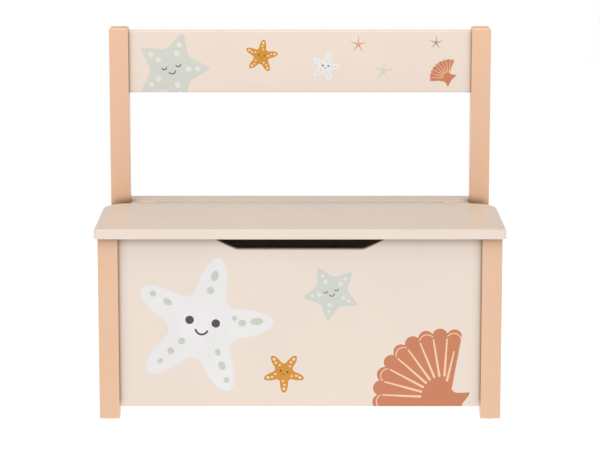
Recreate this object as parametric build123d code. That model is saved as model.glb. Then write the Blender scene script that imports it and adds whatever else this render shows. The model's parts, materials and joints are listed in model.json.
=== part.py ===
from build123d import *
import math
import os

# A child's storage bench: a toy chest whose seat lifts as a lid, with a low backrest.
# Millimetres, +Z up, the front faces -Y. The origin is on the floor, under the middle of the whole.

# Overall sizes
WIDTH = 600.0  # over the posts
HEIGHT = 566.5
BODY_DEPTH = 284.0  # front leg face to rear leg back
SEAT_HEIGHT = 292.0
REAR_LEG_DEPTH = 82.0  # below the seat
UPRIGHT_SETIN = 64.0  # upright's face above the seat to the rear

# Posts
POST = 30.0  # width of every post, and depth of the front legs
UPRIGHT_DEPTH = 30.0  # above the seat
UPRIGHT_INSET = 4.0  # rear uprights stand this much inside the front legs' outer faces
POST_EDGE = 1.5
POST_TOP_EDGE = 5.0

# Lid and fixed seat rail
LID_THICK = 15.0
LID_SIDE_OVERHANG = 5.0
LID_FRONT_OVERHANG = 8.0
LID_EDGE = 3.0
LID_LOWER_EDGE = 1.5
LID_FRONT_CORNER = 5.0
LID_REAR_CORNER = 46.0
JOINT_EDGE = 0.8
NOTCH_GAP = 0.5
RIM_GAP = 1.5  # lid underside to the chest's rim

# Panels
PANEL_THICK = 12.0
PANEL_RECESS = 5.0
PANEL_BOTTOM = 20.0
BOTTOM_THICK = 9.0
BOTTOM_GAP = 0.5
CLEAT_WIDE = 12.0
CLEAT_HIGH = 14.0
CLEAT_GAP = 2.0
BATTEN_DEEP = 14.0
BATTEN_HIGH = 18.0

# Hand slot in the front panel's top edge
SLOT_TOP_WIDTH = 258.0
SLOT_BOTTOM_WIDTH = 190.0
SLOT_DROP = 17.5  # below the lid's underside
SLOT_CORNER = 20.0
SLOT_EDGE = 1.0

# Backrest
BACKREST_HIGH = 97.0
BACKREST_THICK = 14.0
BACKREST_DROP = 4.5  # below the uprights' tops
BACKREST_SETBACK = 4.0
BACKREST_EDGE = 3.0

# Hinges
HINGE_LONG = 24.0
HINGE_INSET = 30.0  # its middle, from the upright's inner face
LEAF_THICK = 1.0
LEAF_HIGH = 12.0
KNUCKLE_R = 1.9
PIN_R = 0.9
PIN_CLEARANCE = 0.05
KNUCKLE_GAP = 0.4
KNUCKLE_RELIEF = 0.5
HINGE_SCREW_SPACING = 14.0
HINGE_SCREW_DROP = 7.5  # below the hinge axis
LID_GAP = 2 * (KNUCKLE_R - LEAF_THICK)  # the leaves lie flush in the wood

# Lid stay: a quadrant arm on the lid runs through a friction clamp on the fixed rail
ARM_WIDE = 13.0
ARM_THICK = 3.0
ARM_X = -10.5
ARM_GAP = 4.0  # clear of the batten that it passes under
CLAMP_ANGLE = 55.0  # degrees below the lid's plane, counted from the front
LID_OPENS = 85.0
SLOT_SPARE = 3.0  # degrees of slot past the bolt at each end
ARM_TAIL = 1.0  # degrees of arm past the end of its slot
ARM_DROP = 1.0  # arm's end below the lid
BOLT_R = 2.3
ARM_SLOT_R = 2.8
FOOT_LONG = 26.0
FOOT_WIDE = 18.0
PLATE_THICK = 2.0
PLATE_X = -0.5
CLAMP_PAD_R = 6.0
CLAMP_PAD_THICK = 1.2
SLIDE_GAP = 0.3
SPRING_WASHER_THICK = 1.4
BOLT_HEAD_THICK = 3.0
NUT_THICK = 3.6
NUT_ACROSS = 7.5
BOLT_END = 1.0  # past the nut
BOLT_HEAD_R = 5.0
BOLT_HEAD_EDGE = 1.2
SPACER_R = 4.5
BRACKET_EYE_R = 7.5

# Fastenings
DOWEL_R = 3.0
DOWEL_REACH = 12.0  # into each piece
FRAME_SCREW = (2.0, 4.0, 45.0)  # shank radius, head radius, length
BRACKET_SCREW = (1.5, 3.0, 16.0)
ARM_SCREW = (1.5, 3.0, 12.0)
LEAF_SCREW = (1.2, 2.2, 12.0)
CLEAT_SCREW = (1.5, 3.0, 20.0)
BATTEN_SCREW = (1.8, 3.5, 27.0)
CAP_R = 5.0
CAP_THICK = 1.2
CAP_PROUD = 0.4
CAP_EDGE = 0.35
CAP_SEAT = 4.0  # depth of the screw head below the wood's face
GLIDE_R = 9.0
GLIDE_THICK = 2.0
GLIDE_EDGE = 0.8
GLIDE_NAIL = (1.0, 12.0)
BUFFER_R = 4.0
BUFFER_GAP = 0.3
DOWEL_INSET = 34.0  # from a panel's lower and upper edges
SCREW_INSET = 74.0
BOARD_SCREW_INSET = 20.0

# Places of fastenings, as shares of the length they are spread over
LONG_CLEAT_SHARES = (-0.75, 0.0, 0.75)
SIDE_CLEAT_SHARES = (0.25, 0.75)
BATTEN_SHARES = (-0.7, -0.25, 0.25, 0.7)
RAIL_DOWEL_SHARES = (0.3, 0.7)
REAR_GLIDE_SHARES = (0.2, 0.8)
ARM_SCREW_SHARES = (-0.25, 0.25)
BRACKET_SCREW_ACROSS = 0.6
BRACKET_SCREW_UP = (0.25, 0.7)

TINY = 0.01  # tolerance when edges are picked by place

# Places that follow
FRONT = (LID_FRONT_OVERHANG - BODY_DEPTH) / 2  # front leg face
REAR = FRONT + BODY_DEPTH
REAR_LEG_Y = REAR - REAR_LEG_DEPTH
UPRIGHT_Y = REAR - UPRIGHT_SETIN
HALF = WIDTH / 2
INNER = HALF - POST  # inner face of the posts
POST_X = HALF - POST / 2
REAR_HALF = HALF - UPRIGHT_INSET
REAR_INNER = REAR_HALF - POST
UPRIGHT_X = REAR_HALF - POST / 2
HINGE_X = REAR_INNER - HINGE_INSET
REST_Z = SEAT_HEIGHT - LID_THICK
RIM_Z = REST_Z - RIM_GAP
AXIS_Y = UPRIGHT_Y - LID_GAP / 2
SIDE_INNER = HALF - PANEL_RECESS - PANEL_THICK
SIDE_X = SIDE_INNER + PANEL_THICK / 2
FRONT_INNER_Y = FRONT + PANEL_RECESS + PANEL_THICK
FRONT_MID_Y = FRONT_INNER_Y - PANEL_THICK / 2
BACK_INNER_Y = REAR - PANEL_RECESS - PANEL_THICK
BACK_MID_Y = BACK_INNER_Y + PANEL_THICK / 2
LID_FRONT_Y = FRONT - LID_FRONT_OVERHANG
LID_REAR_Y = UPRIGHT_Y - LID_GAP
NOTCH_Y = UPRIGHT_Y + UPRIGHT_DEPTH + NOTCH_GAP
BOTTOM_Z = PANEL_BOTTOM + CLEAT_HIGH
BATTEN_Z = REST_Z - BATTEN_HIGH
BOARD_TOP = HEIGHT - BACKREST_DROP
BOARD_BOTTOM = BOARD_TOP - BACKREST_HIGH
BOARD_Y = UPRIGHT_Y + BACKREST_SETBACK
BOARD_MID_Y = BOARD_Y + BACKREST_THICK / 2
DOWEL_ROWS = (PANEL_BOTTOM + DOWEL_INSET, RIM_Z - DOWEL_INSET)
SCREW_ROWS = (PANEL_BOTTOM + SCREW_INSET, RIM_Z - SCREW_INSET)
BOARD_ROWS = (BOARD_BOTTOM + BOARD_SCREW_INSET, BOARD_TOP - BOARD_SCREW_INSET)
BATTEN_CORNER = math.hypot(LID_GAP / 2 + BATTEN_DEEP, LID_THICK + BATTEN_HIGH)  # from the hinge axis
STAY_R = BATTEN_CORNER + ARM_GAP + ARM_WIDE / 2  # hinge axis to the middle of the arm
ARM_START = math.degrees(math.asin((LID_THICK + ARM_WIDE / 2 + ARM_DROP) / STAY_R))
ARM_END = CLAMP_ANGLE + LID_OPENS + SLOT_SPARE + ARM_TAIL


def block(x, y, z):
    """A box between the two ends given for each axis."""
    size = Box(x[1] - x[0], y[1] - y[0], z[1] - z[0])
    return Pos((x[0] + x[1]) / 2, (y[0] + y[1]) / 2, (z[0] + z[1]) / 2) * size


def rod(start, axis, radius, length):
    """A round bar from start along axis."""
    return extrude(Plane(start, z_dir=axis) * Circle(radius), length)


def screw(start, axis, kind):
    """A countersunk screw: the flat of its head lies at start."""
    shank, head, length = kind
    cone = head - shank
    outline = Polyline((0, 0), (head, 0), (shank, cone), (shank, length - shank), (0, length), (0, 0))
    turned = revolve(Plane.XZ * make_face(outline), Axis.Z)
    return Plane(start, z_dir=axis) * turned


def group(solids):
    return Compound(children=list(solids))


def cut(body, tools):
    """Takes each tool out of the body, so that a fastening fills its own hole."""
    for tool in tools:
        body = body - tool
    return body


# Fastenings: each is made once, and taken out of the wood that it sits in


def dowel(middle, axis, reach=DOWEL_REACH):
    start = Vector(*middle) - Vector(*axis) * reach
    return rod(tuple(start), axis, DOWEL_R, 2 * reach)


def make_frame_dowels():
    dowels = []
    for side in (-1, 1):
        for z in DOWEL_ROWS:
            dowels.append(dowel((side * INNER, FRONT_MID_Y, z), (1, 0, 0)))
            dowels.append(dowel((side * REAR_INNER, BACK_MID_Y, z), (1, 0, 0)))
            dowels.append(dowel((side * SIDE_X, FRONT + POST, z), (0, 1, 0)))
            dowels.append(dowel((side * SIDE_X, REAR_LEG_Y, z), (0, 1, 0)))
    return dowels


def make_rail_dowels():
    dowels = []
    shoulder = REAR - NOTCH_Y
    for side in (-1, 1):
        for share in RAIL_DOWEL_SHARES:
            place = (side * UPRIGHT_X, NOTCH_Y + share * shoulder, REST_Z)
            dowels.append(dowel(place, (0, 0, 1), LID_THICK / 2))
        place = (side * REAR_INNER, UPRIGHT_Y + BATTEN_DEEP / 2, REST_Z - BATTEN_HIGH / 2)
        dowels.append(dowel(place, (1, 0, 0)))
    return dowels


def make_backrest_dowels():
    middle = (BOARD_TOP + BOARD_BOTTOM) / 2
    return [dowel((side * REAR_INNER, BOARD_MID_Y, middle), (1, 0, 0)) for side in (-1, 1)]


def post_side(y):
    """Half the width over the posts at depth y."""
    return HALF if y < REAR_LEG_Y else REAR_HALF


def side_screws(places):
    """Screws driven in from both outer sides, at each (y, z)."""
    screws = []
    for side in (-1, 1):
        for y, z in places:
            screws.append(screw((side * (post_side(y) - CAP_SEAT), y, z), (-side, 0, 0), FRAME_SCREW))
    return screws


FRAME_SCREW_PLACES = [(y, z) for y in (FRONT_MID_Y, BACK_MID_Y) for z in SCREW_ROWS]
BACKREST_SCREW_PLACES = [(BOARD_MID_Y, z) for z in BOARD_ROWS]


def make_cap_seats():
    """The round recess over each side screw, down to the screw's head."""
    seats = []
    for side in (-1, 1):
        for y, z in FRAME_SCREW_PLACES + BACKREST_SCREW_PLACES:
            seats.append(rod((side * (post_side(y) - CAP_SEAT), y, z), (side, 0, 0), CAP_R, CAP_SEAT))
    return seats


def make_screw_caps():
    caps = []
    for side in (-1, 1):
        for y, z in FRAME_SCREW_PLACES + BACKREST_SCREW_PLACES:
            start = post_side(y) + CAP_PROUD - CAP_THICK
            cap = rod((side * start, y, z), (side, 0, 0), CAP_R, CAP_THICK)
            outer = cap.edges().filter_by(GeomType.CIRCLE).sort_by(Axis.X)[-1 if side > 0 else 0]
            caps.append(fillet(outer, CAP_EDGE))
    return caps


def make_cleat_screws():
    z = PANEL_BOTTOM + CLEAT_HIGH / 2
    screws = []
    for share in LONG_CLEAT_SHARES:
        x = share * INNER
        screws.append(screw((x, FRONT_INNER_Y + CLEAT_WIDE, z), (0, -1, 0), CLEAT_SCREW))
        screws.append(screw((x, BACK_INNER_Y - CLEAT_WIDE, z), (0, 1, 0), CLEAT_SCREW))
    side_length = REAR_LEG_Y - FRONT - POST
    for side in (-1, 1):
        for share in SIDE_CLEAT_SHARES:
            place = (side * (SIDE_INNER - CLEAT_WIDE), FRONT + POST + share * side_length, z)
            screws.append(screw(place, (side, 0, 0), CLEAT_SCREW))
    return screws


def make_batten_screws():
    y = UPRIGHT_Y + BATTEN_DEEP / 2
    return [screw((share * REAR_INNER, y, BATTEN_Z), (0, 0, 1), BATTEN_SCREW) for share in BATTEN_SHARES]


def glide_places():
    places = [(POST_X, FRONT + POST / 2)]
    places += [(UPRIGHT_X, REAR_LEG_Y + share * REAR_LEG_DEPTH) for share in REAR_GLIDE_SHARES]
    return [(side * x, y) for side in (-1, 1) for x, y in places]


def make_glides():
    nail, length = GLIDE_NAIL
    glides = []
    for x, y in glide_places():
        disc = rod((x, y, 0), (0, 0, 1), GLIDE_R, GLIDE_THICK)
        disc = fillet(disc.edges().filter_by(GeomType.CIRCLE).sort_by(Axis.Z)[0], GLIDE_EDGE)
        glides.append(disc + rod((x, y, GLIDE_THICK), (0, 0, 1), nail, length))
    return glides


def make_buffers():
    thick = RIM_GAP - BUFFER_GAP
    places = [(POST_X, FRONT + POST / 2), (SIDE_X, REAR_LEG_Y - POST)]
    return [rod((side * x, y, RIM_Z), (0, 0, 1), BUFFER_R, thick) for side in (-1, 1) for x, y in places]


# Hinges


def hinge_ends(side):
    return side * HINGE_X - HINGE_LONG / 2, side * HINGE_X + HINGE_LONG / 2


def make_leaf(side, turn):
    """One leaf of a hinge. turn is 1 for the leaf on the fixed rail and -1 for the one on the lid."""
    low, high = hinge_ends(side)
    third = HINGE_LONG / 3
    near = AXIS_Y + turn * (KNUCKLE_R - LEAF_THICK)
    far = AXIS_Y + turn * KNUCKLE_R
    plate = block((low, high), sorted((near, far)), (SEAT_HEIGHT - LEAF_HIGH, SEAT_HEIGHT))
    barrel = rod((low, AXIS_Y, SEAT_HEIGHT), (1, 0, 0), KNUCKLE_R, HINGE_LONG)
    leaf = plate + barrel
    middle = (low + third - KNUCKLE_GAP / 2, high - third + KNUCKLE_GAP / 2)
    around = KNUCKLE_R + KNUCKLE_RELIEF
    ends_y = (AXIS_Y - around, AXIS_Y + around)
    ends_z = (SEAT_HEIGHT - around, SEAT_HEIGHT + around)
    if turn > 0:
        leaf = leaf - block(middle, ends_y, ends_z)
        leaf = leaf - rod((low, AXIS_Y, SEAT_HEIGHT), (1, 0, 0), PIN_R, HINGE_LONG)
    else:
        leaf = leaf - block((low, low + third + KNUCKLE_GAP / 2), ends_y, ends_z)
        leaf = leaf - block((high - third - KNUCKLE_GAP / 2, high), ends_y, ends_z)
        leaf = leaf - rod((low, AXIS_Y, SEAT_HEIGHT), (1, 0, 0), PIN_R + PIN_CLEARANCE, HINGE_LONG)
    return cut(leaf, leaf_screws(side, turn))


def leaf_screws(side, turn):
    y = AXIS_Y + turn * (KNUCKLE_R - LEAF_THICK)
    z = SEAT_HEIGHT - HINGE_SCREW_DROP
    spots = (-HINGE_SCREW_SPACING / 2, HINGE_SCREW_SPACING / 2)
    return [screw((side * HINGE_X + spot, y, z), (0, turn, 0), LEAF_SCREW) for spot in spots]


def make_hinge_pin(side):
    return rod((hinge_ends(side)[0], AXIS_Y, SEAT_HEIGHT), (1, 0, 0), PIN_R, HINGE_LONG)


def hinge_seat(side, turn):
    """What the wood loses for a hinge: the leaf's flat bed, and a groove clear of the knuckles."""
    low, high = hinge_ends(side)
    near = AXIS_Y + turn * (KNUCKLE_R - LEAF_THICK)
    far = AXIS_Y + turn * KNUCKLE_R
    around = KNUCKLE_R + KNUCKLE_RELIEF
    bed = block((low, high), sorted((near, far)), (SEAT_HEIGHT - LEAF_HIGH, SEAT_HEIGHT + around))
    groove = rod((low - KNUCKLE_RELIEF, AXIS_Y, SEAT_HEIGHT), (1, 0, 0), around, HINGE_LONG + 2 * KNUCKLE_RELIEF)
    return [bed, groove]


# Lid stay, drawn in the plane across the bench: u runs to the rear from the hinge axis, v runs up

STAY_PLANE = Plane((0, AXIS_Y, SEAT_HEIGHT), x_dir=(0, 1, 0), z_dir=(1, 0, 0))


def on_arc(angle, radius=STAY_R):
    """A point of the stay's circle, at an angle below the lid's plane, counted from the front."""
    turn = math.radians(angle)
    return -radius * math.cos(turn), -radius * math.sin(turn)


def arc_band(start, end, half_width):
    """A round-ended strip along the stay's circle."""
    outer = STAY_R + half_width
    inner = STAY_R - half_width
    middle = (start + end) / 2
    lines = [
        ThreePointArc(on_arc(start, outer), on_arc(middle, outer), on_arc(end, outer)),
        ThreePointArc(on_arc(start, inner), on_arc(middle, inner), on_arc(end, inner)),
    ]
    face = make_face(lines + [Line(on_arc(a, outer), on_arc(a, inner)) for a in (start, end)])
    for angle in (start, end):
        face = face + Pos(*on_arc(angle)) * Circle(half_width)
    return face


def plate(face, x, thick):
    """A flat piece of the stay, thick about the place x."""
    return Pos(x - thick / 2, 0, 0) * extrude(STAY_PLANE * face, thick)


def clamp_point(x):
    u, v = on_arc(CLAMP_ANGLE)
    return x, AXIS_Y + u, SEAT_HEIGHT + v


def clamp_stack():
    """The x at which each piece of the clamp starts, from the bolt's head to its nut."""
    left_pad = ARM_X - ARM_THICK / 2 - SLIDE_GAP - CLAMP_PAD_THICK
    right_pad = ARM_X + ARM_THICK / 2 + SLIDE_GAP
    return {
        "head": left_pad - BOLT_HEAD_THICK,
        "left_pad": left_pad,
        "right_pad": right_pad,
        "spacer": right_pad + CLAMP_PAD_THICK,
        "plate": PLATE_X - PLATE_THICK / 2,
        "spring": PLATE_X + PLATE_THICK / 2,
        "nut": PLATE_X + PLATE_THICK / 2 + SPRING_WASHER_THICK,
    }


def ring(x, radius, thick):
    return rod(clamp_point(x), (1, 0, 0), radius, thick) - rod(clamp_point(x), (1, 0, 0), BOLT_R, thick)


def make_stay_arm():
    face = arc_band(ARM_START, ARM_END, ARM_WIDE / 2)
    u, v = on_arc(ARM_START)
    top = REST_Z - SEAT_HEIGHT
    neck = Pos(u, (v + top) / 2) * Rectangle(ARM_WIDE, top - v)
    face = face + neck
    slot = arc_band(CLAMP_ANGLE - SLOT_SPARE, CLAMP_ANGLE + LID_OPENS + SLOT_SPARE, ARM_SLOT_R)
    arm = plate(face - slot, ARM_X, ARM_THICK)
    foot = block(
        (ARM_X + ARM_THICK / 2 - FOOT_WIDE, ARM_X + ARM_THICK / 2),
        (AXIS_Y + u - FOOT_LONG / 2, AXIS_Y + u + FOOT_LONG / 2),
        (REST_Z - PLATE_THICK, REST_Z),
    )
    return cut(arm + foot, make_stay_arm_screws())


def make_stay_arm_screws():
    x = ARM_X - ARM_THICK / 2 - (FOOT_WIDE - ARM_THICK) / 2
    middle = AXIS_Y + on_arc(ARM_START)[0]
    z = REST_Z - PLATE_THICK
    return [screw((x, middle + share * FOOT_LONG, z), (0, 0, 1), ARM_SCREW) for share in ARM_SCREW_SHARES]


def make_stay_bracket():
    u, v = on_arc(CLAMP_ANGLE)
    high = REST_Z - SEAT_HEIGHT - PLATE_THICK
    low = BATTEN_Z - SEAT_HEIGHT
    back = UPRIGHT_Y - AXIS_Y
    outline = make_face(Polyline(
        (back, high), (back, low), (u + CLAMP_PAD_R, v - CLAMP_PAD_R),
        (u - CLAMP_PAD_R, v), (back - 2 * PLATE_THICK, high), (back, high),
    ))
    web = plate(outline + Pos(u, v) * Circle(BRACKET_EYE_R), PLATE_X, PLATE_THICK)
    flange = block(
        (PLATE_X - PLATE_THICK / 2, PLATE_X + FOOT_LONG),
        (UPRIGHT_Y - PLATE_THICK, UPRIGHT_Y),
        (SEAT_HEIGHT + low, SEAT_HEIGHT + high),
    )
    bracket = web + flange - rod(clamp_point(PLATE_X - PLATE_THICK), (1, 0, 0), BOLT_R, 2 * PLATE_THICK)
    return cut(bracket, make_stay_bracket_screws())


def make_stay_bracket_screws():
    x = PLATE_X + BRACKET_SCREW_ACROSS * FOOT_LONG
    y = UPRIGHT_Y - PLATE_THICK
    return [screw((x, y, BATTEN_Z + share * BATTEN_HIGH), (0, 1, 0), BRACKET_SCREW) for share in BRACKET_SCREW_UP]


def make_clamp_bolt():
    stack = clamp_stack()
    head = rod(clamp_point(stack["head"]), (1, 0, 0), BOLT_HEAD_R, BOLT_HEAD_THICK)
    head = fillet(head.edges().filter_by(GeomType.CIRCLE).sort_by(Axis.X)[0], BOLT_HEAD_EDGE)
    shank = stack["nut"] + NUT_THICK + BOLT_END - stack["left_pad"]
    return head + rod(clamp_point(stack["left_pad"]), (1, 0, 0), BOLT_R, shank)


def make_friction_washers():
    stack = clamp_stack()
    return [ring(stack[name], CLAMP_PAD_R, CLAMP_PAD_THICK) for name in ("left_pad", "right_pad")]


def make_spacer():
    stack = clamp_stack()
    return ring(stack["spacer"], SPACER_R, stack["plate"] - stack["spacer"])


def make_spring_washer():
    stack = clamp_stack()
    return ring(stack["spring"], BOLT_HEAD_R, SPRING_WASHER_THICK)


def make_lock_nut():
    stack = clamp_stack()
    start = clamp_point(stack["nut"])
    across = RegularPolygon(NUT_ACROSS / 2, 6, major_radius=False)
    nut = extrude(Plane(start, z_dir=(1, 0, 0)) * across, NUT_THICK)
    return nut - rod(start, (1, 0, 0), BOLT_R, NUT_THICK)


# Wood


def make_front_leg(side):
    low = side * POST_X - POST / 2
    leg = block((low, low + POST), (FRONT, FRONT + POST), (GLIDE_THICK, RIM_Z))
    leg = fillet(leg.edges().filter_by(Axis.Z), POST_EDGE)
    leg = fillet(leg.faces().sort_by(Axis.Z)[0].edges(), POST_EDGE)
    return leg


def make_rear_upright(side):
    """One board: deep as a leg below the seat, and a square post above it."""
    low = side * UPRIGHT_X - POST / 2
    ends = (low, low + POST)
    leg = block(ends, (REAR_LEG_Y, REAR), (GLIDE_THICK, RIM_Z))
    shoulder = block(ends, (UPRIGHT_Y, REAR), (RIM_Z, REST_Z))
    post = block(ends, (UPRIGHT_Y, UPRIGHT_Y + UPRIGHT_DEPTH), (REST_Z, HEIGHT))
    board = leg + shoulder + post
    board = fillet(board.edges().filter_by(Axis.Z).filter_by(lambda e: e.length > POST), POST_EDGE)
    board = fillet(board.faces().sort_by(Axis.Z)[0].edges(), POST_EDGE)
    return fillet(board.faces().sort_by(Axis.Z)[-1].edges(), POST_TOP_EDGE)


def make_front_panel():
    ends_y = (FRONT + PANEL_RECESS, FRONT_INNER_Y)
    panel = block((-INNER, INNER), ends_y, (PANEL_BOTTOM, RIM_Z))
    half_top = SLOT_TOP_WIDTH / 2
    half_low = SLOT_BOTTOM_WIDTH / 2
    low = REST_Z - SLOT_DROP
    # the slanted ends run on above the rim, so that the cut leaves nothing there
    high = REST_Z + SLOT_DROP
    half_high = 2 * half_top - half_low
    outline = Polyline((-half_high, high), (-half_low, low), (half_low, low), (half_high, high), close=True)
    face = make_face(outline)
    face = fillet(face.vertices().sort_by(Axis.Y)[:2], SLOT_CORNER)
    across = Plane((0, FRONT - POST, 0), x_dir=(1, 0, 0), z_dir=(0, 1, 0))
    hole = extrude(across * mirror(face, Plane.XZ), 3 * POST)
    panel = panel - hole
    around = panel.edges().filter_by(lambda e: abs(e.center().X) < half_top and e.center().Z > low - TINY)
    rims = around.filter_by(lambda e: e.bounding_box().size.Y < TINY and e.center().Z < RIM_Z - TINY)
    return fillet(rims, SLOT_EDGE)


def make_side_panel(side):
    return block(
        sorted((side * SIDE_INNER, side * (SIDE_INNER + PANEL_THICK))),
        (FRONT + POST, REAR_LEG_Y),
        (PANEL_BOTTOM, RIM_Z),
    )


def make_back_panel():
    return block((-REAR_INNER, REAR_INNER), (BACK_INNER_Y, BACK_INNER_Y + PANEL_THICK), (PANEL_BOTTOM, REST_Z))


def make_bottom_panel():
    half = SIDE_INNER - BOTTOM_GAP
    ends_y = (FRONT_INNER_Y + BOTTOM_GAP, BACK_INNER_Y - BOTTOM_GAP)
    ends_z = (BOTTOM_Z, BOTTOM_Z + BOTTOM_THICK)
    bottom = block((-half, half), ends_y, ends_z)
    for side in (-1, 1):
        corner = sorted((side * (INNER - BOTTOM_GAP), side * HALF))
        rear_corner = sorted((side * (REAR_INNER - BOTTOM_GAP), side * HALF))
        bottom = bottom - block(corner, (FRONT, FRONT + POST + BOTTOM_GAP), ends_z)
        bottom = bottom - block(rear_corner, (REAR_LEG_Y - BOTTOM_GAP, REAR), ends_z)
    return bottom


def long_cleat(low_y, half):
    return block((-half, half), (low_y, low_y + CLEAT_WIDE), (PANEL_BOTTOM, BOTTOM_Z))


def side_cleat(side):
    return block(
        sorted((side * (SIDE_INNER - CLEAT_WIDE), side * SIDE_INNER)),
        (FRONT + POST + CLEAT_GAP, REAR_LEG_Y - CLEAT_GAP),
        (PANEL_BOTTOM, BOTTOM_Z),
    )


def make_batten():
    return block((-REAR_INNER, REAR_INNER), (UPRIGHT_Y, UPRIGHT_Y + BATTEN_DEEP), (BATTEN_Z, REST_Z))


def make_lid():
    """The seat in front of the uprights, with well rounded rear corners."""
    half = HALF + LID_SIDE_OVERHANG
    lid = block((-half, half), (LID_FRONT_Y, LID_REAR_Y), (REST_Z, SEAT_HEIGHT))
    lid = fillet(lid.edges().filter_by(Axis.Z).sort_by(Axis.Y)[:2], LID_FRONT_CORNER)
    lid = fillet(lid.edges().filter_by(Axis.Z).sort_by(Axis.Y)[-2:], LID_REAR_CORNER)
    hinge_edges = lid.edges().filter_by(Axis.X).filter_by(lambda e: e.center().Y > LID_REAR_Y - TINY)
    lid = fillet(lid.faces().sort_by(Axis.Z)[-1].edges() - hinge_edges, LID_EDGE)
    lid = fillet(lid.faces().sort_by(Axis.Z)[0].edges() - hinge_edges, LID_LOWER_EDGE)
    for side in (-1, 1):
        lid = cut(lid, hinge_seat(side, -1))
    return lid


def make_seat_rail():
    """The fixed strip of seat: between the uprights in front, full width behind them."""
    inner = REAR_INNER - NOTCH_GAP
    front = block((-inner, inner), (UPRIGHT_Y, NOTCH_Y), (REST_Z, SEAT_HEIGHT))
    back = block((-REAR_HALF, REAR_HALF), (NOTCH_Y, REAR), (REST_Z, SEAT_HEIGHT))
    rail = front + back
    rail = fillet(rail.edges().filter_by(Axis.Z).sort_by(Axis.Y)[-2:], LID_FRONT_CORNER)
    top = rail.faces().sort_by(Axis.Z)[-1].edges()
    rail = fillet(top.filter_by(lambda e: e.center().Y > NOTCH_Y + TINY), LID_EDGE)
    joint = rail.edges().filter_by(Axis.X).filter_by(lambda e: e.center().Y < UPRIGHT_Y + TINY)
    rail = fillet(joint.sort_by(Axis.Z)[-1], JOINT_EDGE)
    for side in (-1, 1):
        rail = cut(rail, hinge_seat(side, 1))
    return rail


def make_backrest():
    board = block((-REAR_INNER, REAR_INNER), (BOARD_Y, BOARD_Y + BACKREST_THICK), (BOARD_BOTTOM, BOARD_TOP))
    return fillet(board.edges().filter_by(Axis.X), BACKREST_EDGE)


def build():
    frame_dowels = make_frame_dowels()
    rail_dowels = make_rail_dowels()
    backrest_dowels = make_backrest_dowels()
    frame_screws = side_screws(FRAME_SCREW_PLACES)
    backrest_screws = side_screws(BACKREST_SCREW_PLACES)
    cap_seats = make_cap_seats()
    cleat_screws = make_cleat_screws()
    batten_screws = make_batten_screws()
    glides = make_glides()
    arm_screws = make_stay_arm_screws()
    bracket_screws = make_stay_bracket_screws()
    fixed_screws = leaf_screws(-1, 1) + leaf_screws(1, 1)
    lid_screws = leaf_screws(-1, -1) + leaf_screws(1, -1)

    in_posts = frame_dowels + rail_dowels + backrest_dowels + frame_screws + backrest_screws
    in_posts = in_posts + cap_seats + glides
    in_panels = frame_dowels + frame_screws + cleat_screws

    nodes = {
        "front_panel": cut(make_front_panel(), in_panels),
        "back_panel": cut(make_back_panel(), in_panels),
        "bottom_panel": make_bottom_panel(),
        "bottom_cleat_front": cut(long_cleat(FRONT_INNER_Y, INNER - CLEAT_GAP), cleat_screws),
        "bottom_cleat_back": cut(long_cleat(BACK_INNER_Y - CLEAT_WIDE, REAR_INNER - CLEAT_GAP), cleat_screws),
        "lid": cut(make_lid(), lid_screws + arm_screws),
        "rear_seat_rail": cut(make_seat_rail(), rail_dowels + batten_screws + fixed_screws),
        "seat_rail_batten": cut(make_batten(), rail_dowels + batten_screws + bracket_screws),
        "backrest_board": cut(make_backrest(), backrest_dowels + backrest_screws),
        "frame_dowels": group(frame_dowels),
        "rail_dowels": group(rail_dowels),
        "backrest_dowels": group(backrest_dowels),
        "frame_screws": group(frame_screws),
        "backrest_screws": group(backrest_screws),
        "screw_caps": group(make_screw_caps()),
        "cleat_screws": group(cleat_screws),
        "batten_screws": group(batten_screws),
        "floor_glides": group(glides),
        "lid_buffers": group(make_buffers()),
        "hinge_screws_fixed": group(fixed_screws),
        "hinge_screws_lid": group(lid_screws),
        "stay_arm": make_stay_arm(),
        "stay_arm_screws": group(arm_screws),
        "stay_bracket": make_stay_bracket(),
        "stay_bracket_screws": group(bracket_screws),
        "stay_clamp_bolt": make_clamp_bolt(),
        "stay_friction_washers": group(make_friction_washers()),
        "stay_spacer": make_spacer(),
        "stay_spring_washer": make_spring_washer(),
        "stay_lock_nut": make_lock_nut(),
    }
    for side, name in ((-1, "left"), (1, "right")):
        nodes["front_leg_" + name] = cut(make_front_leg(side), in_posts)
        nodes["rear_upright_" + name] = cut(make_rear_upright(side), in_posts)
        nodes["side_panel_" + name] = cut(make_side_panel(side), in_panels)
        nodes["bottom_cleat_" + name] = cut(side_cleat(side), cleat_screws)
        nodes["hinge_leaf_fixed_" + name] = make_leaf(side, 1)
        nodes["hinge_leaf_lid_" + name] = make_leaf(side, -1)
        nodes["hinge_pin_" + name] = make_hinge_pin(side)
    return nodes


os.makedirs("parts", exist_ok=True)
for node, shape in build().items():
    export_step(shape, "parts/" + node + ".step")
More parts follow.
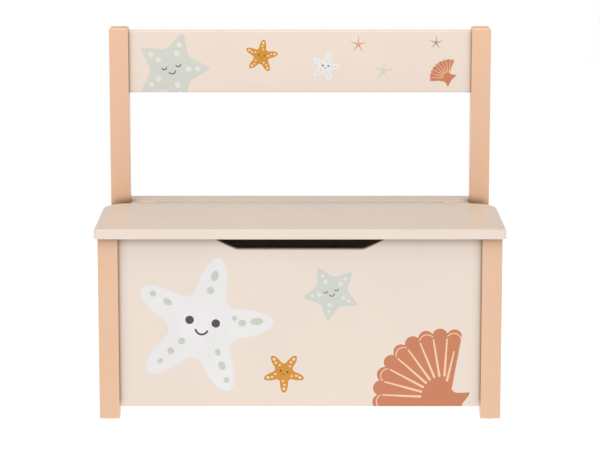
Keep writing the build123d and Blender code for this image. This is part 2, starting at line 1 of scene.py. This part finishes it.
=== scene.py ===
import bmesh
import bpy
import json
import math
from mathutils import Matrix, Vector

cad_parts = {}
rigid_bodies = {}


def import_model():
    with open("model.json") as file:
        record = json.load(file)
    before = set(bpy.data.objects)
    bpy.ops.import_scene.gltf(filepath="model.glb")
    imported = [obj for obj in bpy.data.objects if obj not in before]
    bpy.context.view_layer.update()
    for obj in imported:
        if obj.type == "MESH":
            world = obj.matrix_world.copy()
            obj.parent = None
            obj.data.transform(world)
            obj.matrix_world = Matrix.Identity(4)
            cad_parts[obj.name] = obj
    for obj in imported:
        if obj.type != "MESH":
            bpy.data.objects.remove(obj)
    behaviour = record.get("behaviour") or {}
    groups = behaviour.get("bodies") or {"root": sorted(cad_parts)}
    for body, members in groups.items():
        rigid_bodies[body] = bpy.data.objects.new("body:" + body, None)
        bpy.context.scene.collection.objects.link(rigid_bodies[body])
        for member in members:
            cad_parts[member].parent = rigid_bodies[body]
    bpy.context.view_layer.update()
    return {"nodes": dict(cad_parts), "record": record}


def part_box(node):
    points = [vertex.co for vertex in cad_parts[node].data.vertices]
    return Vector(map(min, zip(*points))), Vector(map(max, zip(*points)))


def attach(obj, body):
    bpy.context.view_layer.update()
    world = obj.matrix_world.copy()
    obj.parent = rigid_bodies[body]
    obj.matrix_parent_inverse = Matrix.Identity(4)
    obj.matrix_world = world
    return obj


# The looks of a child's storage bench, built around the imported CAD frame. Metres, +Z up, front faces -Y.

MM = 0.001

for stray in list(bpy.data.objects):
    bpy.data.objects.remove(stray)

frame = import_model()


# Colours


def linear(value):
    value = value / 255
    return value / 12.92 if value <= 0.04045 else ((value + 0.055) / 1.055) ** 2.4


def colour(red, green, blue):
    """An 8-bit screen colour as Blender's linear one."""
    return linear(red), linear(green), linear(blue), 1.0


CREAM = colour(243, 230, 220)
PEACH = colour(240, 199, 168)
STAR_WHITE = colour(241, 242, 245)
STAR_SAGE = colour(216, 221, 214)
STAR_BLUE = colour(214, 220, 215)
DOT_SAGE = colour(206, 213, 205)
DOT_WHITE = colour(234, 236, 232)
ORANGE = colour(218, 148, 26)
ORANGE_DARK = colour(196, 128, 38)
DOT_CREAM = colour(252, 238, 206)
TERRACOTTA = colour(208, 129, 90)
RIB_CREAM = colour(252, 216, 182)
HALO = colour(255, 240, 224)
INK = colour(78, 60, 66)
LINE_PEACH = colour(222, 158, 124)
LINE_TAUPE = colour(170, 138, 124)


# Materials


PAINTED_SHADE_REACH = 16 * MM  # how far the painted shade at a joint spreads
PAINTED_SHADE_TINT = (0.40, 0.29, 0.19)  # the painted shade's colour at the joint, as a share of the paint's own
SATIN_COAT = {"Coat_Weight": 0.25, "Coat_Roughness": 0.22}
PEEL_SCALE = 900.0  # orange peel about 1 mm across
PEEL_DEPTH = 0.02 * MM


class Shader:
    """A small helper that keeps one material's nodes and links short to write."""

    def __init__(self, name):
        self.material = bpy.data.materials.new(name)
        self.material.use_nodes = True
        self.tree = self.material.node_tree
        self.bsdf = self.tree.nodes["Principled BSDF"]

    def node(self, kind, inputs=None, **settings):
        made = self.tree.nodes.new(kind)
        for key, value in settings.items():
            setattr(made, key, value)
        for key, value in (inputs or {}).items():
            self.put(made.inputs[key], value)
        return made

    def put(self, socket, value):
        if isinstance(value, bpy.types.NodeSocket):
            self.tree.links.new(value, socket)
        else:
            socket.default_value = value

    def set(self, **values):
        for key, value in values.items():
            self.put(self.bsdf.inputs[key.replace("_", " ")], value)

    def place(self, scale=(1, 1, 1)):
        """Object coordinates in metres, stretched by scale."""
        coordinates = self.node("ShaderNodeTexCoord")
        mapping = self.node("ShaderNodeMapping", {"Vector": coordinates.outputs["Object"], "Scale": scale})
        return mapping.outputs["Vector"]

    def noise(self, scale, stretch=(1, 1, 1), detail=2.0, roughness=0.5, distortion=0.0):
        inputs = {
            "Vector": self.place(stretch),
            "Scale": scale,
            "Detail": detail,
            "Roughness": roughness,
            "Distortion": distortion,
        }
        return self.node("ShaderNodeTexNoise", inputs).outputs["Fac"]

    def spread(self, value, low, high, first=0.3, last=0.7):
        """Maps a noise value from its usual range to low..high."""
        inputs = {"Value": value, "From Min": first, "From Max": last, "To Min": low, "To Max": high}
        return self.node("ShaderNodeMapRange", inputs).outputs["Result"]

    def mix(self, share, first, second):
        made = self.node("ShaderNodeMix", data_type="RGBA")
        self.put(made.inputs["Factor"], share)
        self.put(made.inputs[6], first)
        self.put(made.inputs[7], second)
        return made.outputs[2]

    def painted_corner_shade(self, tone, dark):
        """Soft painted shade in the corners where boards meet, darkest at the joint, and none painted from
        the floor.
        """
        inputs = {"Distance": PAINTED_SHADE_REACH}
        open_share = self.node("ShaderNodeAmbientOcclusion", inputs, samples=8).outputs["AO"]
        height = self.node("ShaderNodeSeparateXYZ", {"Vector": self.place()}).outputs["Z"]
        lifted = self.spread(height, 0.0, 1.0, PAINTED_SHADE_REACH, 2 * PAINTED_SHADE_REACH)
        shaded = self.spread(open_share, 1.0, 0.0, 0.5, 0.97)
        both = self.node("ShaderNodeMath", {0: shaded, 1: lifted}, operation="MULTIPLY")
        return self.mix(both.outputs[0], tone, dark)

    def bump(self, height, distance, strength=1.0, under=None):
        inputs = {"Height": height, "Distance": distance, "Strength": strength}
        if under:
            inputs["Normal"] = under
        return self.node("ShaderNodeBump", inputs).outputs["Normal"]

    def peel(self):
        return self.bump(self.noise(PEEL_SCALE, detail=1.0), PEEL_DEPTH, 0.6)


def shade(value, factor):
    """A colour made lighter or darker."""
    return tuple(min(1.0, part * factor) for part in value[:3]) + (1.0,)


def painted_wood(name, base, grain=(1.0, 8.0, 8.0)):
    """Sprayed satin paint: fine orange peel, a little of the board's grain, soft unevenness in tone, and
    painted shade in the corners where boards meet.
    """
    look = Shader(name)
    cloud = look.spread(look.noise(7.0, detail=3.0), 0.0, 1.0)
    tone = look.mix(cloud, shade(base, 0.975), shade(base, 1.012))
    streak = look.spread(look.noise(40.0, stretch=grain, detail=4.0, distortion=0.4), 0.0, 0.10)
    tone = look.mix(streak, tone, shade(base, 0.93))
    # Painted shade: the colour darkens where other parts come close, as in the corners and under the lid.
    dark = tuple(part * share for part, share in zip(base, PAINTED_SHADE_TINT)) + (1.0,)
    tone = look.painted_corner_shade(tone, dark)
    gloss = look.spread(look.noise(60.0, detail=3.0), 0.34, 0.44)
    peel = look.peel()
    fibre = look.bump(look.noise(90.0, stretch=grain, detail=5.0), 0.05 * MM, 0.5, under=peel)
    look.set(Base_Color=tone, Roughness=gloss, Normal=fibre, IOR=1.5, **SATIN_COAT)
    return look.material


def printed_ink(name, base):
    """The prints lie under the same satin finish as the paint around them."""
    look = Shader(name)
    cloud = look.spread(look.noise(25.0, detail=3.0), 0.0, 1.0)
    tone = look.mix(cloud, shade(base, 0.975), shade(base, 1.015))
    gloss = look.spread(look.noise(60.0, detail=3.0), 0.36, 0.46)
    look.set(Base_Color=tone, Roughness=gloss, Normal=look.peel(), **SATIN_COAT)
    return look.material


def bare_wood(name, light, dark, grain):
    """Planed softwood: long streaks of darker late wood, fine pores and a matt surface."""
    look = Shader(name)
    rings = look.noise(30.0, stretch=grain, detail=6.0, roughness=0.6, distortion=1.2)
    tone = look.mix(look.spread(rings, 0.0, 1.0, 0.42, 0.62), light, dark)
    pores = look.noise(600.0, stretch=grain, detail=2.0)
    tone = look.mix(look.spread(pores, 0.0, 0.25, 0.5, 0.75), tone, shade(dark, 0.7))
    gloss = look.spread(rings, 0.55, 0.72)
    look.set(Base_Color=tone, Roughness=gloss, Normal=look.bump(pores, 0.1 * MM, 0.5))
    return look.material


def faced_board(name, base):
    """White-faced hardboard with a faint pebble."""
    look = Shader(name)
    cloud = look.spread(look.noise(12.0, detail=4.0), 0.0, 1.0)
    tone = look.mix(cloud, shade(base, 0.95), base)
    gloss = look.spread(cloud, 0.45, 0.6, 0.0, 1.0)
    pebble = look.node("ShaderNodeTexVoronoi", {"Vector": look.place(), "Scale": 400.0}).outputs["Distance"]
    look.set(Base_Color=tone, Roughness=gloss, Normal=look.bump(pebble, 0.06 * MM, 0.5))
    return look.material


def metal(name, base, brushed, rough):
    """Zinc-plated or brushed steel: fine streaks along one axis and dull patches."""
    look = Shader(name)
    streaks = look.noise(500.0, stretch=brushed, detail=3.0)
    patches = look.noise(90.0, detail=3.0)
    tone = look.mix(look.spread(patches, 0.0, 1.0), shade(base, 0.85), base)
    gloss = look.spread(streaks, rough - 0.08, rough + 0.1)
    look.set(Base_Color=tone, Metallic=1.0, Roughness=gloss)
    look.set(Normal=look.bump(streaks, 0.02 * MM, 0.6))
    return look.material


def moulded(name, base, rough, grain_scale=1500.0):
    """Moulded plastic or rubber: a fine spark-eroded grain and slight mottling."""
    look = Shader(name)
    mottle = look.spread(look.noise(80.0, detail=3.0), 0.0, 1.0)
    tone = look.mix(mottle, shade(base, 0.94), base)
    gloss = look.spread(mottle, rough, rough + 0.1, 0.0, 1.0)
    grain = look.noise(grain_scale, detail=1.0)
    look.set(Base_Color=tone, Roughness=gloss, Normal=look.bump(grain, 0.04 * MM, 0.5))
    return look.material


# A pattern's scale along each axis, low where its streaks run
ALONG_X = (0.08, 1.0, 1.0)
ALONG_Z = (1.0, 1.0, 0.08)
EVENLY = (1.0, 1.0, 1.0)
STAY_BRUSHED = (1.0, 0.1, 1.0)

SLOT_LOOKS = {
    "cream_paint": painted_wood("cream_paint_satin", CREAM, ALONG_X),
    "peach_paint": painted_wood("peach_paint_satin", PEACH, ALONG_Z),
    "bottom_board": faced_board("white_faced_board", colour(226, 220, 210)),
    "bare_wood": bare_wood("planed_pine", colour(226, 196, 148), colour(190, 146, 96), ALONG_X),
    "dowel_wood": bare_wood("beech", colour(222, 186, 140), colour(198, 156, 112), ALONG_X),
    "screw_steel": metal("zinc_screw", colour(205, 203, 198), EVENLY, 0.3),
    "cap_plastic": moulded("cap_plastic_peach", PEACH, 0.4),
    "glide_plastic": moulded("glide_plastic_grey", colour(214, 212, 208), 0.45),
    "buffer_rubber": moulded("buffer_rubber_clear", colour(205, 205, 200), 0.5),
    "hinge_metal": moulded("hinge_painted_cream", CREAM, 0.35, 600.0),
    "stay_metal": metal("stay_steel", colour(222, 220, 216), STAY_BRUSHED, 0.45),
    "friction_pad": moulded("nylon_pad", colour(60, 58, 56), 0.5),
}

for part in frame["record"]["subparts"]:
    shown = frame["nodes"][part["node"]]
    shown.data.materials.clear()
    shown.data.materials.append(SLOT_LOOKS[part["material_slot"]])

INKS = {}


def ink(name, base):
    """One ink for each colour of print, made once."""
    if name not in INKS:
        INKS[name] = printed_ink("ink_" + name, base)
    return INKS[name]


# Print outlines: closed lists of (x, z) in millimetres about the motif's own centre


def at_angle(reach, angle, centre=(0.0, 0.0)):
    """The point at a distance and an angle in degrees from the centre."""
    lean = math.radians(angle)
    return centre[0] + reach * math.cos(lean), centre[1] + reach * math.sin(lean)


def turned(outline, angle, centre=(0.0, 0.0)):
    """An outline turned about its own origin, which is then placed at the centre."""
    lean = math.radians(angle)
    cosine, sine = math.cos(lean), math.sin(lean)
    return [(centre[0] + x * cosine - z * sine, centre[1] + x * sine + z * cosine) for x, z in outline]


def polar(radius_at, count=180, start=0.0, sweep=360.0):
    """An outline from a function that gives its distance from the origin at an angle."""
    steps = count if sweep >= 360 else count + 1
    angles = [start + sweep * i / count for i in range(steps)]
    return [at_angle(radius_at(angle), angle) for angle in angles]


def soft_star(outer, inner, turn, fullness, arms=5):
    """A sea star with rounded arms. A higher fullness makes the arms narrower."""
    def radius(angle):
        wave = (1 + math.cos(math.radians(arms * (angle - turn)))) / 2
        return inner + (outer - inner) * wave ** fullness
    return polar(radius, 240)


CORNER_STEPS = 8


def star(outer, inner, turn, tip, hollow, arms=5):
    """A star with straight sides, rounded off over the lengths tip and hollow at its corners."""
    corners = []
    for i in range(2 * arms):
        corners.append(Vector(at_angle(inner if i % 2 else outer, turn + 180 * i / arms)))
    outline = []
    for i, here in enumerate(corners):
        length = hollow if i % 2 else tip
        first = here + (corners[i - 1] - here).normalized() * length
        last = here + (corners[(i + 1) % len(corners)] - here).normalized() * length
        for step in range(CORNER_STEPS + 1):
            share = step / CORNER_STEPS
            outline.append(tuple(first.lerp(here, share).lerp(here.lerp(last, share), share)))
    return outline


def ellipse(place, across, up, tilt=0.0, count=28):
    turns = [2 * math.pi * i / count for i in range(count)]
    return turned([(across * math.cos(t), up * math.sin(t)) for t in turns], tilt, place)


def stroke(line, first_width, last_width=None, cap=6):
    """A line of points drawn with a round pen, which may narrow towards the end."""
    last_width = first_width if last_width is None else last_width
    left, right = [], []
    count = len(line)
    for i, (x, z) in enumerate(line):
        before, after = line[max(i - 1, 0)], line[min(i + 1, count - 1)]
        along = Vector((after[0] - before[0], after[1] - before[1])).normalized()
        half = (first_width + (last_width - first_width) * i / (count - 1)) / 2
        left.append((x - along.y * half, z + along.x * half))
        right.append((x + along.y * half, z - along.x * half))

    def nose(before, tip, width):
        heading = math.degrees(math.atan2(tip[1] - before[1], tip[0] - before[0]))
        return arc(tip, width / 2, heading + 90, heading - 90, cap)[1:-1]

    return left + nose(line[-2], line[-1], last_width) + right[::-1] + nose(line[1], line[0], first_width)


def arc(centre, radius, start, end, count=14):
    return [at_angle(radius, start + (end - start) * i / count, centre) for i in range(count + 1)]


def arm_spots(turn, spots, arms=5):
    """Ovals on each arm: spots is a list of (distance, sideways, half length, half width)."""
    found = []
    for arm in range(arms):
        angle = turn + 360 * arm / arms
        for distance, sideways, across, up in spots:
            place = turned([(distance, sideways)], angle)[0]
            found.append(ellipse(place, across, up, angle))
    return found


# Prints: thin raised layers on a board's front face


class Board:
    """A board's front face: its middle, its lower edge, and the rounding that a print follows."""

    def __init__(self, node, rounding):
        low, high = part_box(node)
        self.face = low.y
        self.middle = (low.x + high.x) / 2
        self.low = low.z
        self.high = high.z
        self.rounding = rounding

    def depth(self, z):
        """How far the surface has curved back at height z."""
        edge = min(z - self.low, self.high - z)
        if edge >= self.rounding:
            return 0.0
        short = self.rounding - max(edge, 0.0)
        return self.rounding - math.sqrt(max(self.rounding ** 2 - short ** 2, 0.0))


LAYER = 0.05 * MM  # each print layer lies this much higher than the one below
SUNK = 0.1 * MM  # how far a print's back goes into the board
CURVE_STEPS = 5  # cuts across a print where it follows a rounded edge


def crop(mesh, place, normal, keep_all=False):
    """Cuts the mesh along a plane, and drops what is past it unless keep_all is set."""
    everything = mesh.verts[:] + mesh.edges[:] + mesh.faces[:]
    bmesh.ops.bisect_plane(mesh, geom=everything, plane_co=place, plane_no=normal, clear_outer=not keep_all)


def lay_print(name, board, centre, layers):
    """Builds one motif. layers is a list of (outlines, ink), the lowest first, about centre in mm."""
    joined = bmesh.new()
    data = bpy.data.meshes.new(name)
    for level, (outlines, look) in enumerate(layers):
        for outline in outlines:
            sheet = bmesh.new()
            corners = [
                sheet.verts.new((board.middle + (centre[0] + x) * MM, 0, board.low + (centre[1] + z) * MM))
                for x, z in outline
            ]
            sheet.faces.new(corners)
            crop(sheet, (0, 0, board.low), (0, 0, -1))
            crop(sheet, (0, 0, board.high), (0, 0, 1))
            if board.rounding:
                for step in range(1, CURVE_STEPS + 1):
                    share = (step / CURVE_STEPS) ** 2
                    crop(sheet, (0, 0, board.low + board.rounding * share), (0, 0, 1), keep_all=True)
            if not sheet.faces:
                sheet.free()
                continue
            lift = LAYER * (level + 1)
            for vertex in sheet.verts:
                vertex.co.y = board.face + board.depth(vertex.co.z) - lift
            backs = bmesh.ops.extrude_face_region(sheet, geom=sheet.faces[:])
            for part in backs["geom"]:
                if isinstance(part, bmesh.types.BMVert):
                    part.co.y += lift + SUNK
            bmesh.ops.recalc_face_normals(sheet, faces=sheet.faces[:])
            for face in sheet.faces:
                face.material_index = level
            piece = bpy.data.meshes.new("sheet")
            sheet.to_mesh(piece)
            sheet.free()
            joined.from_mesh(piece)
            bpy.data.meshes.remove(piece)
    joined.to_mesh(data)
    joined.free()
    motif = bpy.data.objects.new(name, data)
    bpy.context.scene.collection.objects.link(motif)
    for _, look in layers:
        data.materials.append(look)
    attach(motif, "chest")


def calm_face(size, turn=0.0, open_eyes=True):
    """A plain face of two eyes and a smile, size across."""
    eye = size * 0.11
    reach = size * 0.34
    pen = size * 0.05
    smile = stroke(arc((0, -size * 0.06), size * 0.16, 200, 340), pen)
    if open_eyes:
        eyes = [ellipse((side * reach, size * 0.12), eye, eye) for side in (-1, 1)]
    else:
        eyes = [stroke(arc((side * reach, size * 0.16), eye, 190, 350), pen) for side in (-1, 1)]
    return [turned(outline, turn) for outline in eyes + [smile]]


# The large star's spots, arm by arm: distance from the middle, sideways, and half sizes along and across
WHITE_STAR_SPOTS = [
    [(82, 2, 9.5, 5.5), (60, 1, 6, 5), (49, 9, 4, 4)],
    [(79, 0, 8, 5.5), (56, 1, 5.5, 5.5)],
    [(88, -3, 4.5, 4.5), (63, -4, 7, 4.5)],
    [(38, -2, 5.5, 5), (60, -1, 5, 5), (82, 1, 4.5, 3.5)],
    [(46, 7, 5.5, 4), (67, 5, 7, 5), (90, 3, 4.5, 4)],
]


def white_star(board):
    turn = 3.6
    body = soft_star(107, 51, turn, 1.65)
    dots = []
    for arm, spots in enumerate(WHITE_STAR_SPOTS):
        dots += arm_spots(turn + 72 * arm, spots, arms=1)
    layers = [([body], ink("white", STAR_WHITE)), (dots, ink("sage_dot", DOT_SAGE))]
    layers.append((calm_face(58, turn=-8), ink("dark", INK)))
    lay_print("print_star_white", board, (-146, 123), layers)


def small_white_star(board):
    turn = 73
    body = soft_star(23.6, 11, turn, 1.2)
    dots = arm_spots(turn, [(15, 0, 1.0, 1.0), (9, 0, 1.0, 1.0)])
    layers = [([body], ink("white", STAR_WHITE)), (dots, ink("sage_dot", DOT_SAGE))]
    layers.append((calm_face(13, turn=-6), ink("dark", INK)))
    lay_print("print_back_star_white", board, (39.5, 40.5), layers)


def blue_star(board, name, centre, outer, inner, turn):
    size = outer / 43
    body = star(outer * 1.03, inner, turn, 5 * size, 5 * size)
    dots = arm_spots(turn, [(29 * size, 0, 2.8 * size, 2.8 * size), (19 * size, 0, 3.4 * size, 3.2 * size)])
    layers = [([body], ink("blue", STAR_BLUE)), (dots, ink("pale_dot", DOT_WHITE))]
    layers.append((calm_face(24 * size, open_eyes=False, turn=12), ink("dark", INK)))
    lay_print(name, board, centre, layers)


def orange_star(board, name, centre, outer, inner, turn):
    size = outer / 30
    body = soft_star(outer, inner, turn, 1.9)
    edge = soft_star(outer + 1.2 * size, inner + 1.0 * size, turn, 1.75)
    halo = soft_star(outer + 2.6 * size, inner + 2.4 * size, turn, 1.6)
    spots = [(25, 0, 2.2, 1.9), (19, 0.8, 1.7, 1.6), (13, -1.6, 1.5, 1.5)]
    dots = arm_spots(turn, [tuple(part * size for part in spot) for spot in spots])
    layers = [
        ([halo], ink("halo", HALO)),
        ([edge], ink("orange_dark", ORANGE_DARK)),
        ([body], ink("orange", ORANGE)),
        (dots, ink("cream_dot", DOT_CREAM)),
        (calm_face(15 * size, turn=-10), ink("dark", INK)),
    ]
    lay_print(name, board, centre, layers)


def lobe_fan(radius, lobe, angles, grow=0.0):
    """The outer edge of a fan of round lobes, as distance from the pivot at an angle."""
    reach = radius - lobe

    def edge(angle):
        best = reach * 0.8
        for lobe_angle in angles:
            off = math.radians(angle - lobe_angle)
            inside = (lobe + grow) ** 2 - (reach * math.sin(off)) ** 2
            if inside >= 0 and math.cos(off) > 0:
                best = max(best, reach * math.cos(off) + math.sqrt(inside))
        return best
    return edge


def curve(points, steps=6):
    """A smooth line through the points."""
    line = []
    for i in range(len(points) - 1):
        a, b = Vector(points[i]), Vector(points[i + 1])
        before = Vector(points[i - 1]) if i else a
        after = Vector(points[i + 2]) if i + 2 < len(points) else b
        for step in range(steps):
            t = step / steps
            leave, arrive = (b - before) / 2, (after - a) / 2
            along = a * (2 * t ** 3 - 3 * t ** 2 + 1) + leave * (t ** 3 - 2 * t ** 2 + t)
            line.append(tuple(along + b * (3 * t ** 2 - 2 * t ** 3) + arrive * (t ** 3 - t ** 2)))
    return line + [tuple(points[-1])]


def scallop(board, name, centre, radius, first, last, lobes, hinge):
    """A fan shell: round lobes, cream ribs between them, and a hinge drawn through given points."""
    size = radius / 106
    step = (last - first) / (lobes - 1)
    angles = [first + step * i for i in range(lobes)]
    lobe = radius * math.sin(math.radians(step / 2)) * 0.97
    hinge_line = curve([(x * size, z * size) for x, z in hinge])

    def outline(grow):
        edge = lobe_fan(radius, lobe, angles, grow)
        lobes_edge = polar(edge, 220, first - step * 0.46, last - first + step * 0.92)
        if not grow:
            return lobes_edge + hinge_line
        points = []
        for x, z in hinge_line:
            reach = math.hypot(x, z)
            points.append((x * (1 + grow / reach), z * (1 + grow / reach)))
        return lobes_edge + points

    ribs = []
    for i in range(lobes):
        lean = angles[i] - step * (0.5 if i else 0.22)
        near, far = (34, 90) if i else (27, 72)
        ends = [at_angle(reach * size, lean) for reach in (near, (near + far) / 2, far)]
        ribs.append(stroke(ends, 3.6 * size, 2.2 * size))
    crests = []
    for angle in angles[::2]:
        middle = at_angle(radius - lobe - 6 * size, angle)
        crests.append(stroke(arc(middle, lobe * 0.98, angle - 62, angle + 62), 1.5 * size))
    layers = [
        ([outline(1.6 * size)], ink("halo", HALO)),
        ([outline(0)], ink("terracotta", TERRACOTTA)),
        (ribs + crests, ink("rib_cream", RIB_CREAM)),
    ]
    lay_print(name, board, centre, layers)


# The shells' hinges, for a shell of 106 mm radius
LARGE_HINGE = [(-60, -18), (18, -16), (31, -7), (40, 7), (29, 7), (18, 8), (13, 13)]
SMALL_HINGE = [
    (-60, -14), (-23, -21), (-8, -43), (-2, -42), (14, -12),
    (40, 14), (41, 18), (14, 22), (2, 30),
]


def line_star(board, name, centre, outer, turn, look):
    """A small star of five thin strokes."""
    body = star(outer, outer * 0.13, turn, outer * 0.06, outer * 0.04)
    lay_print(name, board, centre, [([body], look)])


def make_prints():
    panel = Board("front_panel", 0.0)
    white_star(panel)
    blue_star(panel, "print_star_blue", (47, 174), 43, 23.5, -98)
    orange_star(panel, "print_star_orange", (-24, 52), 30, 13, -90)
    scallop(panel, "print_shell_large", (214, 13.5), 106, 80, 184, 9, LARGE_HINGE)

    rest = Board("backrest_board", 3.0 * MM)
    blue_star(rest, "print_back_star_blue", (-199, 36.5), 59, 32.5, 1)
    orange_star(rest, "print_back_star_orange", (-60, 57), 25, 11.5, 81)
    small_white_star(rest)
    line_star(rest, "print_back_line_star_peach", (90.5, 75), 15, 88, ink("line_peach", LINE_PEACH))
    line_star(rest, "print_back_line_star_sage", (129.5, 33.5), 18, 85, ink("line_sage", STAR_SAGE))
    line_star(rest, "print_back_line_star_taupe", (211, 78), 12, 86, ink("line_taupe", LINE_TAUPE))
    scallop(rest, "print_back_shell", (231.5, 22.5), 30, 80, 184, 9, SMALL_HINGE)


make_prints()


# Stage: floor, light and camera


STUDIO = 20.0  # metres from the middle to the backdrop
BACKDROP_HIGH = 3.5
BACKDROP_SIDES = 64
WHITE = (1, 1, 1, 1)
FLOOR_GREYS = (0.33, 0.33, 0.33, 1), (0.36, 0.36, 0.36, 1)
FLOOR_GLOW = 0.86  # with the light that falls on it, this makes the floor just white
WORLD_LIGHT = 0.26


def stage_piece(name, corners, faces, material):
    mesh = bpy.data.meshes.new(name)
    mesh.from_pydata(corners, [], faces)
    mesh.materials.append(material)
    made = bpy.data.objects.new(name, mesh)
    bpy.context.scene.collection.objects.link(made)


def make_floor():
    look = Shader("floor_paper")
    cloud = look.spread(look.noise(3.0, detail=2.0), 0.0, 1.0)
    look.set(Base_Color=look.mix(cloud, *FLOOR_GREYS), Roughness=0.7)
    look.set(Emission_Color=WHITE, Emission_Strength=FLOOR_GLOW)
    corners = [(-STUDIO, -STUDIO, 0), (STUDIO, -STUDIO, 0), (STUDIO, STUDIO, 0), (-STUDIO, STUDIO, 0)]
    stage_piece("floor", corners, [(0, 1, 2, 3)], look.material)


def make_backdrop():
    """A low white wall all round, so that the background stays plain from every side."""
    look = Shader("backdrop_white")
    look.set(Base_Color=(0.1, 0.1, 0.1, 1), Roughness=1.0, Emission_Color=WHITE, Emission_Strength=1.0)
    count = BACKDROP_SIDES
    ring = [at_angle(STUDIO, 360 * i / count) for i in range(count)]
    corners = [(x, y, 0) for x, y in ring] + [(x, y, BACKDROP_HIGH) for x, y in ring]
    faces = [(i, (i + 1) % count, count + (i + 1) % count, count + i) for i in range(count)]
    stage_piece("backdrop", corners, faces, look.material)


def aim(thing, target):
    thing.rotation_euler = (Vector(target) - thing.location).to_track_quat("-Z", "Y").to_euler()


def make_light(name, place, target, size, power, tint=(1, 1, 1)):
    data = bpy.data.lights.new(name, "AREA")
    data.shape = "RECTANGLE"
    data.size, data.size_y = size
    data.energy = power
    data.color = tint
    lamp = bpy.data.objects.new(name, data)
    bpy.context.scene.collection.objects.link(lamp)
    lamp.location = place
    aim(lamp, target)


def make_lights():
    middle = (0, 0, 0.28)
    make_light("softbox", (-0.3, -1.2, 2.4), middle, (2.4, 1.6), 17, (1.0, 0.91, 0.80))
    make_light("overhead", (0, -0.5, 2.5), middle, (1.6, 1.6), 22, (1.0, 0.88, 0.74))
    world = bpy.data.worlds.new("studio")
    world.use_nodes = True
    background = world.node_tree.nodes["Background"]
    background.inputs["Color"].default_value = WHITE
    background.inputs["Strength"].default_value = WORLD_LIGHT
    bpy.context.scene.world = world


CAMERA_BACK = 3.714  # metres in front of the object's middle
CAMERA_HIGH = 0.968  # metres above the floor
CAMERA_DOWN = 9.784  # degrees
CAMERA_LENS = 147.68  # mm, on a sensor 36 mm wide
CAMERA_SENSOR = 36
CAMERA_SHIFT = -0.06  # keeps the posts nearly upright


def make_camera():
    data = bpy.data.cameras.new("camera")
    data.lens = CAMERA_LENS
    data.sensor_width = CAMERA_SENSOR
    data.shift_y = CAMERA_SHIFT
    data.clip_end = 100
    camera = bpy.data.objects.new("camera", data)
    bpy.context.scene.collection.objects.link(camera)
    camera.location = (0, -CAMERA_BACK, CAMERA_HIGH)
    camera.rotation_euler = (math.radians(90 - CAMERA_DOWN), 0, 0)
    bpy.context.scene.camera = camera


make_floor()
make_backdrop()
make_lights()
make_camera()
bpy.context.scene.view_settings.view_transform = "Standard"
